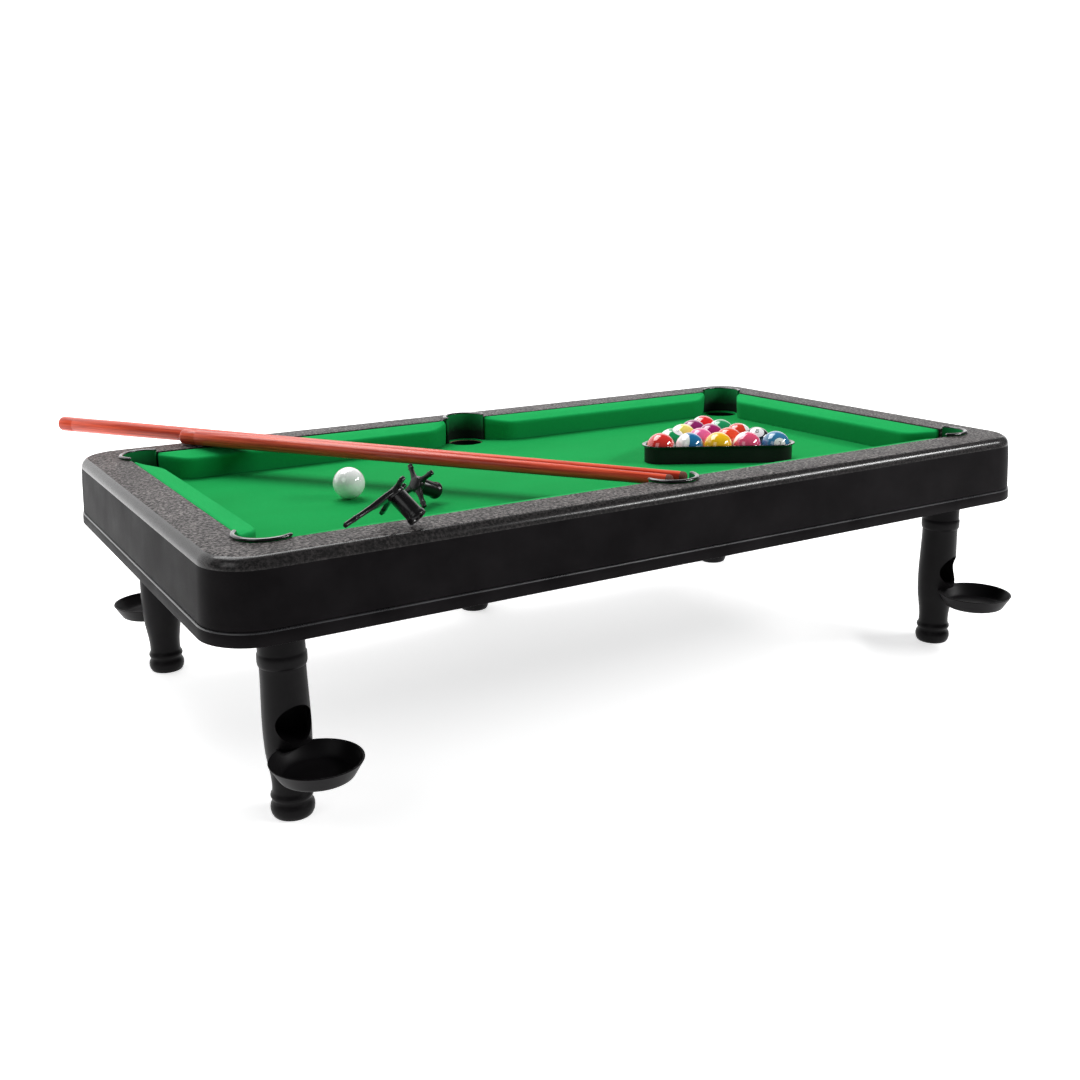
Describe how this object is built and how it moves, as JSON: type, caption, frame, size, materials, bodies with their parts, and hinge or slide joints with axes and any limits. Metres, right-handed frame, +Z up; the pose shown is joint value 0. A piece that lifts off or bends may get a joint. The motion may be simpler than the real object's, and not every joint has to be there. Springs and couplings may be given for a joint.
{
  "type": "mini pool table",
  "caption": "Tabletop pool table with felted bed and cushions, corner and middle pockets, hollow ball-return legs with dishes, and cues, rack, balls and rest heads laid on it.",
  "frame": {"origin": "centre of the table's flat underside, the bottom face of the base pan", "axes": "+X along the table's length towards the racked balls, -Y the front long side, +Z up"},
  "size_m": [0.707, 0.5276, 0.2216],
  "materials": {
    "rail_black": "moulded leather grain, satin",
    "satin_black": "satin",
    "gloss_black": "polished",
    "felt": "short green nap",
    "board": "raw board",
    "cue_red": "varnished",
    "leather": "dull",
    "ball_red": "polished",
    "ball_blue": "polished",
    "ball_yellow": "polished",
    "ball_pink": "polished",
    "ball_navy": "polished",
    "ball_green": "polished",
    "ball_rose": "polished",
    "ball_orange": "polished",
    "ball_black": "polished",
    "ball_gold": "polished",
    "ball_purple": "polished",
    "ball_vermilion": "polished",
    "ball_violet": "polished",
    "ball_emerald": "polished",
    "ball_scarlet": "polished",
    "ball_cue": "polished"
  },
  "bodies": {
    "table": {"base_pan": "rail_black", "rail_frame": "rail_black", "playing_bed": "board", "bed_cloth": "felt", "cushion_front_left": "felt", "cushion_front_right": "felt", "cushion_back_left": "felt", "cushion_back_right": "felt", "cushion_left": "felt", "cushion_right": "felt", "pocket_rim_front_left": "gloss_black", "pocket_rim_front_middle": "gloss_black", "pocket_rim_front_right": "gloss_black", "pocket_rim_back_left": "gloss_black", "pocket_rim_back_middle": "gloss_black", "pocket_rim_back_right": "gloss_black", "pocket_chute_front_left": "satin_black", "pocket_chute_front_right": "satin_black", "pocket_chute_back_left": "satin_black", "pocket_chute_back_middle": "satin_black", "pocket_chute_back_right": "satin_black", "pocket_cup_front_middle": "satin_black"},
    "leg_front_left": {"leg_front_left": "satin_black", "dish_front_left": "satin_black"},
    "leg_front_right": {"leg_front_right": "satin_black", "dish_front_right": "satin_black"},
    "leg_back_left": {"leg_back_left": "satin_black", "dish_back_left": "satin_black"},
    "leg_back_middle": {"leg_back_middle": "satin_black", "dish_back_middle": "satin_black"},
    "leg_back_right": {"leg_back_right": "satin_black", "dish_back_right": "satin_black"},
    "cue_long": {"cue_long": "cue_red", "cue_long_tip": "leather"},
    "cue_short": {"cue_short": "cue_red", "cue_short_tip": "leather"},
    "rack": {"rack": "gloss_black"},
    "ball_red": {"ball_red": "ball_red"},
    "ball_blue": {"ball_blue": "ball_blue"},
    "ball_yellow": {"ball_yellow": "ball_yellow"},
    "ball_pink": {"ball_pink": "ball_pink"},
    "ball_navy": {"ball_navy": "ball_navy"},
    "ball_green": {"ball_green": "ball_green"},
    "ball_rose": {"ball_rose": "ball_rose"},
    "ball_orange": {"ball_orange": "ball_orange"},
    "ball_black": {"ball_black": "ball_black"},
    "ball_gold": {"ball_gold": "ball_gold"},
    "ball_purple": {"ball_purple": "ball_purple"},
    "ball_vermilion": {"ball_vermilion": "ball_vermilion"},
    "ball_violet": {"ball_violet": "ball_violet"},
    "ball_emerald": {"ball_emerald": "ball_emerald"},
    "ball_scarlet": {"ball_scarlet": "ball_scarlet"},
    "ball_cue": {"ball_cue": "ball_cue"},
    "rest_head_near": {"rest_head_near": "gloss_black"},
    "rest_head_far": {"rest_head_far": "gloss_black"}
  },
  "joints": [
    {"name": "turn_leg_front_left", "type": "hinge", "parent": "table", "child": "leg_front_left", "pos_m": [-0.299, -0.1545, 0], "axis": [0, 0, 1], "continuous": true},
    {"name": "turn_leg_front_right", "type": "hinge", "parent": "table", "child": "leg_front_right", "pos_m": [0.303, -0.1545, 0], "axis": [0, 0, 1], "continuous": true},
    {"name": "turn_leg_back_left", "type": "hinge", "parent": "table", "child": "leg_back_left", "pos_m": [-0.301, 0.1545, 0], "axis": [0, 0, 1], "continuous": true},
    {"name": "turn_leg_back_middle", "type": "hinge", "parent": "table", "child": "leg_back_middle", "pos_m": [0, 0.1545, 0], "axis": [0, 0, 1], "continuous": true},
    {"name": "turn_leg_back_right", "type": "hinge", "parent": "table", "child": "leg_back_right", "pos_m": [0.301, 0.1545, 0], "axis": [0, 0, 1], "continuous": true},
    {"name": "lift_cue_long", "type": "slide", "parent": "table", "child": "cue_long", "axis": [0, 0, 1], "range_m": [0, 0.08]},
    {"name": "lift_cue_short", "type": "slide", "parent": "table", "child": "cue_short", "axis": [0, 0, 1], "range_m": [0, 0.08]},
    {"name": "lift_rack", "type": "slide", "parent": "table", "child": "rack", "axis": [0, 0, 1], "range_m": [0, 0.08]},
    {"name": "lift_ball_red", "type": "slide", "parent": "table", "child": "ball_red", "axis": [0, 0, 1], "range_m": [0, 0.08]},
    {"name": "lift_ball_blue", "type": "slide", "parent": "table", "child": "ball_blue", "axis": [0, 0, 1], "range_m": [0, 0.08]},
    {"name": "lift_ball_yellow", "type": "slide", "parent": "table", "child": "ball_yellow", "axis": [0, 0, 1], "range_m": [0, 0.08]},
    {"name": "lift_ball_pink", "type": "slide", "parent": "table", "child": "ball_pink", "axis": [0, 0, 1], "range_m": [0, 0.08]},
    {"name": "lift_ball_navy", "type": "slide", "parent": "table", "child": "ball_navy", "axis": [0, 0, 1], "range_m": [0, 0.08]},
    {"name": "lift_ball_green", "type": "slide", "parent": "table", "child": "ball_green", "axis": [0, 0, 1], "range_m": [0, 0.08]},
    {"name": "lift_ball_rose", "type": "slide", "parent": "table", "child": "ball_rose", "axis": [0, 0, 1], "range_m": [0, 0.08]},
    {"name": "lift_ball_orange", "type": "slide", "parent": "table", "child": "ball_orange", "axis": [0, 0, 1], "range_m": [0, 0.08]},
    {"name": "lift_ball_black", "type": "slide", "parent": "table", "child": "ball_black", "axis": [0, 0, 1], "range_m": [0, 0.08]},
    {"name": "lift_ball_gold", "type": "slide", "parent": "table", "child": "ball_gold", "axis": [0, 0, 1], "range_m": [0, 0.08]},
    {"name": "lift_ball_purple", "type": "slide", "parent": "table", "child": "ball_purple", "axis": [0, 0, 1], "range_m": [0, 0.08]},
    {"name": "lift_ball_vermilion", "type": "slide", "parent": "table", "child": "ball_vermilion", "axis": [0, 0, 1], "range_m": [0, 0.08]},
    {"name": "lift_ball_violet", "type": "slide", "parent": "table", "child": "ball_violet", "axis": [0, 0, 1], "range_m": [0, 0.08]},
    {"name": "lift_ball_emerald", "type": "slide", "parent": "table", "child": "ball_emerald", "axis": [0, 0, 1], "range_m": [0, 0.08]},
    {"name": "lift_ball_scarlet", "type": "slide", "parent": "table", "child": "ball_scarlet", "axis": [0, 0, 1], "range_m": [0, 0.08]},
    {"name": "lift_ball_cue", "type": "slide", "parent": "table", "child": "ball_cue", "axis": [0, 0, 1], "range_m": [0, 0.08]},
    {"name": "lift_rest_head_near", "type": "slide", "parent": "table", "child": "rest_head_near", "axis": [0, 0, 1], "range_m": [0, 0.08]},
    {"name": "lift_rest_head_far", "type": "slide", "parent": "table", "child": "rest_head_far", "axis": [0, 0, 1], "range_m": [0, 0.08]}
  ]
}
